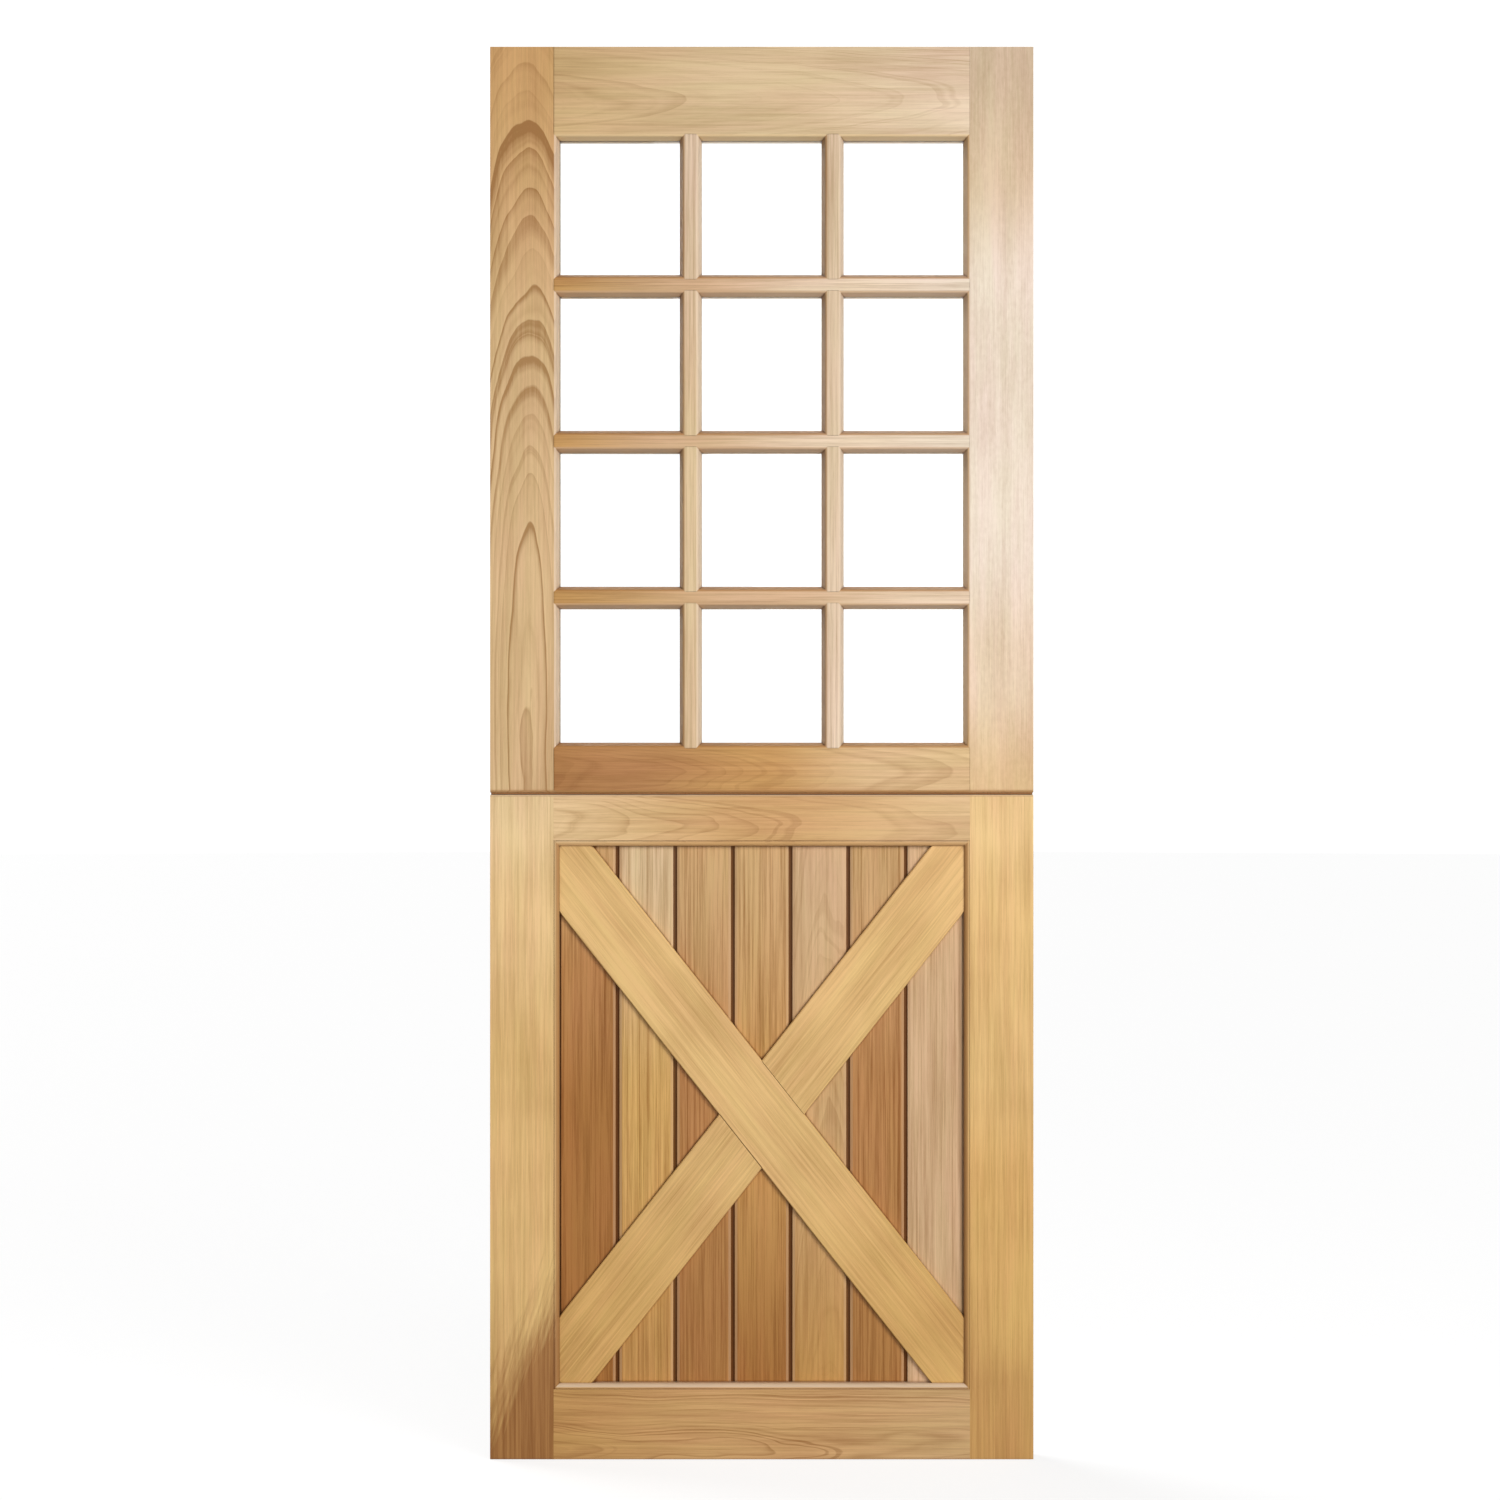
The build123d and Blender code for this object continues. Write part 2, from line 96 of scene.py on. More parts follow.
# Braces: the run of their long edges across and up the panel, in millimetres
BRACE_ACROSS = 522.0
BRACE_UP = 661.0

# Oak lipping under the top leaf, which closes the meeting gap to the light, in millimetres
LIPPING_LENGTH = 760.0
LIPPING_DEPTH = 34.0
LIPPING_TOP = 935.0
LIPPING_HEIGHT = 2.7
LIPPING_ROUND = 1.2
LIPPING_ROUND_STEPS = 6
LIPPING_SEED = 40

# Depths between which a board's tongue and groove lie inside its joint and take painted shade, in
# millimetres
JOINT_FRONT = -4.8
JOINT_BACK = 9.4

# Screws in the leaf flaps, in millimetres: a low crown inside a shoulder, crossed by a slot
LEAF_FLAP_FACE = 377.0
SCREW_HEAD_RADIUS = 4.2
SCREW_HEAD_PROUD = 0.3
SCREW_SHOULDER_WIDTH = 0.25
SCREW_SHOULDER_SHARE = 0.6
SCREW_TOP_SHARE = 0.62
SCREW_SLOT_WIDTH = 1.1
SCREW_SLOT_DEPTH = 0.22
SCREW_SLOT_INSET = 0.2
SCREW_SIDES = 32
SCREW_TURN = 0.7

# Where the screws sit: depth in the door and distance above and below the hinge's middle
SCREW_PLACES = ((-1.0, 38.0), (9.0, 14.0))
HINGE_MIDDLES = {"bottom_leaf": (200.0, 732.0), "top_leaf": (1135.0, 1781.0)}


def linear(red, green, blue):
    """An 8-bit sRGB colour as the linear colour that shaders take."""
    def channel(value):
        share = value / 255
        return share / 12.92 if share <= 0.04045 else ((share + 0.055) / 1.055) ** 2.4

    return channel(red), channel(green), channel(blue), 1.0


# Wood tones
PEARL = linear(232, 215, 197)
SHELL = linear(229, 205, 178)
BLUSH = linear(216, 191, 160)
OAT = linear(217, 190, 150)
BEIGE = linear(211, 177, 127)
WHEAT = linear(232, 195, 138)
GOLD = linear(224, 184, 121)
HONEY = linear(213, 169, 101)
STRAW = linear(219, 185, 138)
CREAM = linear(233, 202, 153)
SAND = linear(204, 166, 117)
FAWN = linear(210, 175, 136)
TAN = linear(208, 163, 108)
CARAMEL = linear(197, 149, 87)
COPPER = linear(183, 131, 79)
CHESTNUT = linear(173, 121, 68)
RUSSET = linear(168, 114, 60)
ROSE = linear(205, 181, 152)
# Petal and nut serve only as painted light and shade on turned faces
PETAL = linear(208, 170, 132)
NUT = linear(172, 125, 76)
KNOT = linear(136, 82, 33)
# Umber is painted shade in crevices and board joints
SHADE_UMBER = linear(104, 57, 14)

# Tones of glass and steel
CLEAR = linear(255, 255, 255)
SEA_GREEN = linear(251, 255, 254)
STEEL = linear(198, 197, 194)
DULL_STEEL = linear(168, 166, 162)
SCREW_STEEL = linear(190, 186, 176)
DULL_SCREW_STEEL = linear(150, 146, 138)
WORN_STEEL = linear(226, 224, 220)

# How far a tone goes, channel by channel, from its palest early wood to its darkest late wood
EARLY_WOOD = (1.1, 1.11, 1.13)
LATE_WOOD = (0.58, 0.46, 0.33)

# How a tone shifts from one patch to the next
YELLOWER = (0.99, 1.01, 0.97)
REDDER = (1.015, 0.985, 1.0)

# Noises of the grain: lumps in a millimetre across, through and along, then detail and roughness
BROAD_WANDER = ((0.014, 0.014, 0.0035), 2.0, 0.5)
CLOSE_WANDER = ((0.05, 0.05, 0.012), 2.0, 0.5)
STREAKS = ((0.3, 0.3, 0.005), 5.0, 0.65)
FIBRES = ((1.3, 1.3, 0.025), 3.0, 0.6)
PORES = ((2.6, 2.6, 0.09), 1.0, 0.5)
PATCHES = ((0.02, 0.02, 0.004), 2.0, 0.5)
BLUSHES = ((0.045, 0.045, 0.006), 2.0, 0.5)
MOTTLES = ((0.2, 0.2, 0.1), 3.0, 0.6)
BANDS = ((0.003, 0.003, 0.012), 1.0, 0.5)
FEATHERS = ((0.16, 0.1, 0.012), 4.0, 0.6)
NOISE_MIDDLE = 0.5

# How far one seed's grain lies from the next, in millimetres, and its ring numbers, in rings
RING_SEED_STEPS = (371.0, 83.0, 911.0)
GRAIN_SEED_STEPS = (53.0, 29.0, 617.0)
FEATHER_SEED_STEPS = (31.0, 31.0, 31.0)
RING_COUNT_SEED_STEP = 17.0

# Rings: shares of their wander, ease of their lean, drift of their spacing, and a ring's dark line
BROAD_WANDER_SHARE = 2.0
CLOSE_WANDER_SHARE = 0.25
LEAN_EASE = 200.0
RING_DRIFT = 0.06
RING_RISE_POWER = 2.6
RING_FALL_START = 0.93

# Noise levels, and how strong a ring is at each
RING_STRENGTHS = (0.1, 0.9, 0.15, 1.0)

# How much fibres, patches and pores darken the wood, and the share of late wood where nothing does
FIBRE_DEPTH = 0.6
PATCH_DEPTH = 0.8
PORE_DEPTH = 0.14
PLAIN_SHARE = 0.2

# Noise levels between which pores open, patches redden and burr darkens
PORE_RANGE = (0.62, 0.72)
BLUSH_RANGE = (0.35, 0.65)
BURR_RANGE = (0.35, 0.62)

# Streak levels, and the wood's roughness at each
OAK_ROUGHNESS = (0.3, 0.7, 0.4, 0.54)

# How far a face turns aside, as a part of its normal, for its painted light and shade to start and to
# be full
LIT_AND_SHADED_START = 0.06
LIT_AND_SHADED_FULL = 0.3

# Painted shade in crevices: how far it reaches, in millimetres, and how open a place is where it fades
CREVICE_REACH = 5.5
CREVICE_SAMPLES = 8
CREVICE_RANGE = (0.38, 0.8)

# Relief of the wood and the round of its arrises, in millimetres
ARRIS_SAMPLES = 4
OAK_ARRIS = 0.3
OAK_BUMP_STRENGTH = 0.3
OAK_BUMP_DEPTH = 0.12
FIBRE_HEIGHT = 0.6
RING_HEIGHT = -0.5

# Glass: haze in lumps in a metre, roughness at two levels of haze, and levels between which it tints
HAZE = ((9.0, 9.0, 5.0), 4.0, 0.6)
GLASS_ROUGHNESS = (0.4, 0.75, 0.0, 0.025)
GREEN_RANGE = (0.3, 0.8)
GLASS_INDEX = 1.46

# Steel: brushing and blotches in lumps in a metre, dulling, worn arrises and relief, in millimetres
BRUSHING = ((2600.0, 2600.0, 45.0), 3.0, 0.6)
BLOTCHES = ((70.0, 70.0, 35.0), 3.0, 0.55)
DULL_RANGE = (0.35, 0.7)
STEEL_ROUGHNESS = (0.3, 0.7, 0.26, 0.44)
BRUSHING_DEPTH = 0.16
WEAR = (0.02, 0.25, 0.0, 0.6)
STEEL_ARRIS = 0.5
STEEL_BUMP_STRENGTH = 0.25
STEEL_BUMP_DEPTH = 0.05

# How strongly painted light and shade on turned faces, painted highlight on board bevels, and painted
# shade in board joints and crevices show
LIT_AND_SHADED_SHARE = 0.7
STILE_LIT_AND_SHADED_SHARE = 0.85
BEVEL_HIGHLIGHT_SHARE = 0.4
JOINT_SHADE_SHARE = 0.9
LIGHT_JOINT_SHADE_SHARE = 0.3
CREVICE_SHADE_SHARE = 0.95
LIGHT_CREVICE_SHADE_SHARE = 0.5

# Sheen of a planed and oiled timber, and of the duller boards
TIMBER_GLOSS = 0.2
BOARD_GLOSS = 0.08

# Crotch wood: its line across and along from the timber's middle, in millimetres, and its strength
CROTCH_LINE = ((-48.0, -385.0), (48.0, -215.0))
CROTCH_RAGGED = 120.0
CROTCH_FADE = (-22.0, 34.0)
CROTCH_SHARE = 0.9


@dataclass(frozen=True)
class Figure:
    """How a timber was sawn, in millimetres, and how much each pattern of its grain darkens it.

    The pith lies pith_across and pith_depth from the timber's middle, and goes deeper by lean for each
    millimetre along it, above straight_below. Rings lie ring apart, drift by up to half of uneven
    rings, and wander off their circles.
    """

    pith_across: float
    pith_depth: float
    lean: float
    ring: float
    ring_depth: float
    wander: float
    streak_depth: float
    mottle_depth: float = 0.0
    band_depth: float = 0.0
    straight_below: float = -1000.0
    uneven: float = 2.6


CATHEDRAL = Figure(4, 45, 0.12, 5.6, 1.4, 6.0, 1.0, straight_below=-200, uneven=1.1)
FLAME = Figure(10, 70, 0.05, 6.2, 0.38, 7, 1.2)
FAINT_FLAME = Figure(10, 75, 0.05, 6.0, 0.45, 6, 1.0)
STRAIGHT = Figure(160, 40, 0.01, 3.8, 0.42, 5, 1.9)
RIBBED = Figure(160, 40, 0.01, 3.8, 0.5, 5, 2.9)
STRIPED = Figure(130, 30, 0.01, 4.6, 0.8, 4, 2.3)
SATIN = Figure(190, 40, 0.01, 6.5, 0.2, 6, 1.2, band_depth=0.5)
MOTTLED = Figure(170, 40, 0.01, 6.0, 0.12, 6, 0.6, mottle_depth=0.4)
WAVY = Figure(40, 60, 0.02, 5.2, 0.7, 10, 1.3)


@dataclass(frozen=True)
class Timber:
    """A timber's figure, its tones, evenly spaced from its low or left end to the other, and its run.

    Lit-and-shaded tones are painted light and shade: the tones of what faces left or down, and of
    what faces right or up, or None for the timber's own; crotch is the line below which the
    timber is dark crotch wood.
    """

    figure: Figure
    tones: tuple
    run: str = "up"
    # Painted light and shade on faces turned left or down, and right or up
    edges: tuple = ()
    lit_and_shaded_share: float = LIT_AND_SHADED_SHARE
    crotch: tuple = ()
    gloss: float = TIMBER_GLOSS
    # Shares of painted shade in a board's joint and in the timber's crevices
    joint_shade_share: float = 0.0
    crevice_shade_share: float = CREVICE_SHADE_SHARE


def board(figure, tones, joint_shade_share=JOINT_SHADE_SHARE, crevice_shade_share=CREVICE_SHADE_SHARE):
    """A board of the bottom leaf: little sheen, a painted highlight on its bevels and painted shade in
    its joint.
    """
    return Timber(
        figure,
        tones,
        edges=(PETAL, PETAL),
        lit_and_shaded_share=BEVEL_HIGHLIGHT_SHARE,
        gloss=BOARD_GLOSS,
        joint_shade_share=joint_shade_share,
        crevice_shade_share=crevice_shade_share,
    )


# In each timber, the pair after the run is painted light and shade for faces turned left or down, then
# right or up
TIMBERS = {
    # Tones that pale towards the right of the door and darken towards its bottom are partly painted
    # light and shade, partly the oak's own tone
    "top_left_stile": Timber(CATHEDRAL, (STRAW, STRAW, TAN), "up", (None, SHELL)),
    # This stile's pale middle is partly a painted sheen, partly its own pale tone
    "top_right_stile": Timber(
        MOTTLED, (STRAW, SHELL, PEARL, PEARL, PEARL, BLUSH, ROSE), "up", (TAN, None)
    ),
    "top_rail": Timber(FAINT_FLAME, (BEIGE, OAT, SHELL), "across", (CREAM, None)),
    "upper_meeting_rail": Timber(
        FLAME, (RUSSET, COPPER, CARAMEL, STRAW, STRAW), "across", (TAN, COPPER)
    ),
    "horizontal_bar_1": Timber(STRAIGHT, (CARAMEL, FAWN, SHELL), "across", (PETAL, COPPER)),
    "horizontal_bar_2": Timber(STRAIGHT, (CARAMEL, FAWN, SHELL, PEARL), "across", (PETAL, COPPER)),
    "horizontal_bar_3": Timber(STRAIGHT, (CARAMEL, FAWN, SHELL, PEARL), "across", (PETAL, COPPER)),
    "vertical_bar_1": Timber(STRAIGHT, (OAT, OAT, SHELL), "up", (NUT, SHELL)),
    "vertical_bar_2": Timber(STRAIGHT, (SHELL, BLUSH, BLUSH), "up", (NUT, SHELL)),
    "bottom_left_stile": Timber(
        SATIN,
        (HONEY, GOLD, GOLD, GOLD, WHEAT, CREAM),
        edges=(None, NUT),
        lit_and_shaded_share=STILE_LIT_AND_SHADED_SHARE,
        crotch=CROTCH_LINE,
    ),
    "bottom_right_stile": Timber(
        SATIN,
        (CARAMEL, HONEY, HONEY, GOLD, GOLD, WHEAT),
        edges=(NUT, None),
        lit_and_shaded_share=STILE_LIT_AND_SHADED_SHARE,
        crevice_shade_share=LIGHT_CREVICE_SHADE_SHARE,
    ),
    "lower_meeting_rail": Timber(FLAME, (CREAM, TAN, STRAW), "across", (TAN, None)),
    "bottom_rail": Timber(WAVY, (CARAMEL, TAN, SAND), "across", (None, SHELL)),
    "brace_falling": Timber(SATIN, (HONEY, GOLD, GOLD), "falling"),
    "brace_rising": Timber(SATIN, (HONEY, GOLD, GOLD), "rising"),
    "glazing_beads_row_1": Timber(STRAIGHT, (BEIGE, BEIGE, BEIGE), "beads"),
    "glazing_beads_row_2": Timber(STRAIGHT, (OAT, BEIGE, OAT), "beads"),
    "glazing_beads_row_3": Timber(STRAIGHT, (BEIGE, OAT, BEIGE), "beads"),
    "glazing_beads_row_4": Timber(STRAIGHT, (OAT, OAT, BEIGE), "beads"),
    "board_1": board(RIBBED, (RUSSET, RUSSET, RUSSET, COPPER, SAND)),
    "board_2": board(STRIPED, (CARAMEL, HONEY, OAT)),
    "board_3": board(RIBBED, (CHESTNUT, COPPER, SAND)),
    "board_4": board(RIBBED, (RUSSET, CARAMEL, SAND)),
    "board_5": board(FLAME, (CARAMEL, SAND, FAWN)),
    "board_6": board(RIBBED, (CHESTNUT, COPPER, SAND)),
    "board_7": board(STRAIGHT, (FAWN, FAWN, FAWN), LIGHT_JOINT_SHADE_SHARE, LIGHT_CREVICE_SHADE_SHARE),
}
LIPPING_TIMBER = Timber(STRAIGHT, (COPPER, COPPER, COPPER), "across")

# Painted bands at the meeting gap: shade on the top leaf's lowest arris, a highlight on the bottom
# leaf's top arris; heights from which and to which each tone deepens, in millimetres
PAINTED_SHADE_ABOVE_GAP = (941.0, 935.0, COPPER, 0.75)
PAINTED_HIGHLIGHT_BELOW_GAP = (928.5, 932.0, SHELL, 0.6)
PAINTED_GAP_BANDS = {
    "top_left_stile": PAINTED_SHADE_ABOVE_GAP,
    "top_right_stile": PAINTED_SHADE_ABOVE_GAP,
    "upper_meeting_rail": PAINTED_SHADE_ABOVE_GAP,
    "bottom_left_stile": PAINTED_HIGHLIGHT_BELOW_GAP,
    "bottom_right_stile": PAINTED_HIGHLIGHT_BELOW_GAP,
    "lower_meeting_rail": PAINTED_HIGHLIGHT_BELOW_GAP,
}

# Both stiles of the bottom leaf were sawn from one length
SHARED_SEEDS = {"bottom_right_stile": "bottom_left_stile"}

BRACE_TURN = math.atan2(BRACE_ACROSS, BRACE_UP)
TURNS = {"up": 0.0, "across": -math.pi / 2, "falling": BRACE_TURN, "rising": -BRACE_TURN}


class Graph:
    """A material's nodes, with short calls that add a node, join its inputs and give back an output."""

    def __init__(self, name):
        self.material = bpy.data.materials.new(name)
        self.material.use_nodes = True
        self.tree = self.material.node_tree
        self.shader = next(n for n in self.tree.nodes if n.type == "BSDF_PRINCIPLED")

    def fill(self, socket, value):
        """Joins a socket to an output, or sets it to a plain value."""
        if isinstance(value, bpy.types.NodeSocket):
            self.tree.links.new(value, socket)
        else:
            socket.default_value = value

    def add(self, kind, inputs, output=0, **settings):
        """A new node with its settings and inputs; sockets go by name or number."""
        node = self.tree.nodes.new(kind)
        for name, value in settings.items():
            setattr(node, name, value)
        for key, value in inputs.items():
            self.fill(node.inputs[key], value)
        return node.outputs[output]

    def rest(self):
        """The place in the door at rest, in metres."""
        return self.add("ShaderNodeTexCoord", {}, "Object")

    def part(self, place, axis):
        """One axis of a place or of a direction."""
        return self.add("ShaderNodeSeparateXYZ", {0: place}, axis)

    def math(self, operation, *values, clamp=False):
        """One operation on plain numbers."""
        inputs = dict(enumerate(values))
        return self.add("ShaderNodeMath", inputs, operation=operation, use_clamp=clamp)

    def vector(self, operation, *values):
        """One operation on vectors, which gives a vector or a number."""
        output = 1 if operation in ("LENGTH", "DOT_PRODUCT") else 0
        return self.add("ShaderNodeVectorMath", dict(enumerate(values)), output, operation=operation)

    def mix(self, share, first, second):
        """Two colours mixed; this node's sockets share names, so they go by number."""
        inputs = {0: share, 6: first, 7: second}
        return self.add("ShaderNodeMix", inputs, 2, data_type="RGBA")

    def noise(self, place, stretch, detail, roughness, output=0):
        """Noise whose lumps are about 1/stretch long along each of the place's axes."""
        scaled = self.vector("MULTIPLY", place, stretch)
        inputs = {"Vector": scaled, "Scale": 1.0, "Detail": detail, "Roughness": roughness}
        return self.add("ShaderNodeTexNoise", inputs, output)

    def spread(self, value, low, high, to_low=0.0, to_high=1.0):
        """A value mapped from low..high to to_low..to_high, held inside."""
        inputs = {0: value, 1: low, 2: high, 3: to_low, 4: to_high}
        return self.add("ShaderNodeMapRange", inputs)

    def swing(self, value, depth):
        """A noise turned to a value about 0 that reaches depth / 2 either way."""
        return self.math("MULTIPLY", self.math("SUBTRACT", value, NOISE_MIDDLE), depth)

    def ramp(self, share, colours):
        """Colours evenly spaced along 0 to 1, eased into each other."""
        node = self.tree.nodes.new("ShaderNodeValToRGB")
        node.color_ramp.interpolation = "EASE"
        stops = node.color_ramp.elements
        while len(stops) < len(colours):
            stops.new(0.5)
        for number, colour in enumerate(colours):
            stops[number].position = number / (len(colours) - 1)
            stops[number].color = colour
        self.fill(node.inputs[0], share)
        return node.outputs[0]

    def rounded(self, radius):
        """The normal of a surface whose arrises are rounded, with a radius in millimetres."""
        return self.add("ShaderNodeBevel", {"Radius": radius * MM}, samples=ARRIS_SAMPLES)

    def bump(self, height, normal, strength, depth):
        """A normal bumped by a height, whose 1 stands for a depth in millimetres."""
        inputs = {"Strength": strength, "Distance": depth * MM, "Height": height, "Normal": normal}
        return self.add("ShaderNodeBump", inputs)

    def finish(self, **inputs):
        """Joins or sets the shader's own sockets, named with underscores for spaces."""
        for name, value in inputs.items():
            self.fill(self.shader.inputs[name.replace("_", " ")], value)
        return self.material


def grain_place(graph, middle, turn):
    """Millimetres across, through and along a timber from its middle, its grain turned about Y."""
    size = 1 / MM
    shift = -(Euler((0.0, turn, 0.0)).to_matrix() @ (middle * size))
    inputs = {
        "Vector": graph.rest(),
        "Location": shift,
        "Rotation": (0.0, turn, 0.0),
        "Scale": (size, size, size),
    }
    return graph.add("ShaderNodeMapping", inputs)


def bead_place(graph, middle):
    """As grain_place, for beads round the lights: the grain turns at each light's mitres."""
    def to_edge(value, first, pitch, span):
        steps = graph.math("DIVIDE", graph.math("SUBTRACT", value, first), pitch)
        off = graph.math("SUBTRACT", steps, graph.math("ROUND", steps))
        return graph.math("SUBTRACT", span / 2 / pitch, graph.math("ABSOLUTE", off))

    rest = graph.rest()
    pitch_across = (LIGHT_WIDTH + BAR_WIDTH) * MM
    pitch_up = (LIGHT_HEIGHT + BAR_WIDTH) * MM
    first_up = (LIGHTS_LOW + LIGHT_HEIGHT / 2) * MM
    side = to_edge(graph.part(rest, "X"), 0.0, pitch_across, LIGHT_WIDTH * MM)
    end = to_edge(graph.part(rest, "Z"), first_up, pitch_up, LIGHT_HEIGHT * MM)
    upright = graph.math("LESS_THAN", graph.math("MULTIPLY", side, pitch_across / pitch_up), end)
    along_up = grain_place(graph, middle, TURNS["up"])
    along_across = grain_place(graph, middle, TURNS["across"])
    inputs = {0: upright, 4: along_across, 5: along_up}
    return graph.add("ShaderNodeMix", inputs, 1, data_type="VECTOR")


def seeded(graph, place, seed, steps):
    """A place moved off for each seed, so that timbers don't share their grain."""
    return graph.vector("ADD", place, tuple(seed * step for step in steps))


def strayed(graph, place, pattern, reach):
    """How far noise moves a place off, up to half of reach each way."""
    stray = graph.vector("SUBTRACT", graph.noise(place, *pattern, output=1), (NOISE_MIDDLE,) * 3)
    return graph.vector("MULTIPLY", stray, (reach,) * 3)


def ring_radius(graph, place, figure, seed):
    """Distance from the pith, bent as the rings wander and the pith leans."""
    shifted = seeded(graph, place, seed, RING_SEED_STEPS)
    wander = strayed(graph, shifted, BROAD_WANDER, figure.wander * BROAD_WANDER_SHARE)
    ripple = strayed(graph, shifted, CLOSE_WANDER, figure.wander * CLOSE_WANDER_SHARE)
    along = graph.part(place, "Z")
    leaning = graph.math("SMOOTH_MAX", along, figure.straight_below, LEAN_EASE)
    lean = graph.add("ShaderNodeCombineXYZ", {1: graph.math("MULTIPLY", leaning, figure.lean)})
    from_pith = graph.vector("SUBTRACT", place, (figure.pith_across, figure.pith_depth, 0.0))
    moved = graph.vector("ADD", from_pith, graph.vector("ADD", wander, ripple))
    bent = graph.vector("SUBTRACT", moved, lean)
    return graph.vector("LENGTH", graph.vector("MULTIPLY", bent, (1.0, 1.0, 0.0)))


def ring_lines(graph, place, figure, seed):
    """Dark late-wood lines of the growth rings that this timber was sawn through, 0 to 1."""
    radius = ring_radius(graph, place, figure, seed)
    drift = {"W": graph.math("MULTIPLY", radius, RING_DRIFT)}
    uneven = graph.add("ShaderNodeTexNoise", drift, noise_dimensions="1D")
    even_rings = graph.math("DIVIDE", radius, figure.ring)
    rings = graph.math("ADD", even_rings, graph.swing(uneven, figure.uneven))
    count = graph.math("ADD", graph.math("FLOOR", rings), seed * RING_COUNT_SEED_STEP)
    strength = graph.add("ShaderNodeTexWhiteNoise", {"W": count}, noise_dimensions="1D")
    part = graph.math("FRACT", rings)
    rise = graph.math("POWER", part, RING_RISE_POWER)
    fall = graph.spread(part, RING_FALL_START, 1.0, 1.0, 0.0)
    line = graph.math("MULTIPLY", rise, fall)
    return graph.math("MULTIPLY", line, graph.spread(strength, *RING_STRENGTHS))


def grain_share(graph, shifted, figure, lines, streak, fibre, pores):
    """Share of dark late wood: all the patterns of the grain, laid over each other."""
    depths = [
        graph.swing(streak, figure.streak_depth),
        graph.swing(fibre, FIBRE_DEPTH),
        graph.swing(graph.noise(shifted, *PATCHES), PATCH_DEPTH),
        graph.math("MULTIPLY", pores, PORE_DEPTH),
    ]
    if figure.mottle_depth:
        depths.append(graph.swing(graph.noise(shifted, *MOTTLES), figure.mottle_depth))
    if figure.band_depth:
        depths.append(graph.swing(graph.noise(shifted, *BANDS), figure.band_depth))
    total = graph.math("MULTIPLY", lines, figure.ring_depth)
    for depth in depths:
        total = graph.math("ADD", total, depth)
    return graph.math("ADD", total, PLAIN_SHARE, clamp=True)


def wood_colour(graph, place, shifted, share, tones, reach):
    """Tones along the timber, from early to late wood by share, in yellower and redder patches."""
    along = graph.part(place, "Z")
    tone = graph.ramp(graph.spread(along, -reach, reach), tones)
    early = graph.vector("MULTIPLY", tone, EARLY_WOOD)
    late = graph.vector("MULTIPLY", tone, LATE_WOOD)
    colour = graph.mix(share, early, late)
    blush = graph.spread(graph.noise(shifted, *BLUSHES), *BLUSH_RANGE)
    yellower = graph.vector("MULTIPLY", colour, YELLOWER)
    redder = graph.vector("MULTIPLY", colour, REDDER)
    return graph.mix(blush, yellower, redder)


def crotch_wood(graph, place, line, seed):
    """Share of crotch wood below a slanting line, broken by feathered streaks that rise beside it."""
    (start_x, start_z), (end_x, end_z) = line
    slope = math.atan2(end_x - start_x, end_z - start_z)
    turned = graph.add("ShaderNodeMapping", {"Vector": place, "Rotation": (0.0, -slope / 2, 0.0)})
    feather = graph.noise(seeded(graph, turned, seed, FEATHER_SEED_STEPS), *FEATHERS)
    normal = Vector((end_z - start_z, 0.0, start_x - end_x)).normalized()
    from_line = graph.vector("SUBTRACT", place, (start_x, 0.0, start_z))
    inside = graph.vector("DOT_PRODUCT", from_line, normal)
    ragged = graph.math("ADD", inside, graph.swing(feather, CROTCH_RAGGED))
    return graph.spread(ragged, *CROTCH_FADE)


def painted_light_and_shade(graph, colour, timber):
    """A colour with painted light and shade, in the timber's lit-and-shaded tones, where its faces turn
    aside.
    """
    facing = graph.add("ShaderNodeTexCoord", {}, "Normal")
    aside = graph.part(facing, "X" if timber.run == "up" else "Z")
    for way, tone in zip((-1, 1), timber.edges):
        if tone:
            painted_face = graph.spread(aside, way * LIT_AND_SHADED_START, way * LIT_AND_SHADED_FULL, 0.0, timber.lit_and_shaded_share)
            colour = graph.mix(painted_face, colour, tone)
    return colour


def painted_gap_band(graph, colour, start, end, tone, share):
    """A colour with a painted band between two heights at the meeting gap: shade on the top leaf's
    lowest arris, a highlight on the bottom leaf's top arris.
    """
    painted_band = graph.spread(graph.part(graph.rest(), "Z"), start * MM, end * MM, 0.0, share)
    return graph.mix(painted_band, colour, tone)


def painted_crevice_shade(graph, timber):
    """Share of painted shade in crevices, and in the joint of a board."""
    inputs = {"Distance": CREVICE_REACH * MM}
    open_share = graph.add("ShaderNodeAmbientOcclusion", inputs, "AO", samples=CREVICE_SAMPLES)
    crevice = graph.spread(open_share, *CREVICE_RANGE, timber.crevice_shade_share, 0.0)
    if timber.joint_shade_share:
        inward = graph.part(graph.rest(), "Y")
        past_front = graph.math("GREATER_THAN", inward, JOINT_FRONT * MM)
        before_back = graph.math("LESS_THAN", inward, JOINT_BACK * MM)
        joint = graph.math("MULTIPLY", past_front, before_back)
        shade = graph.math("MULTIPLY", joint, timber.joint_shade_share)
        crevice = graph.math("MAXIMUM", crevice, shade)
    return crevice


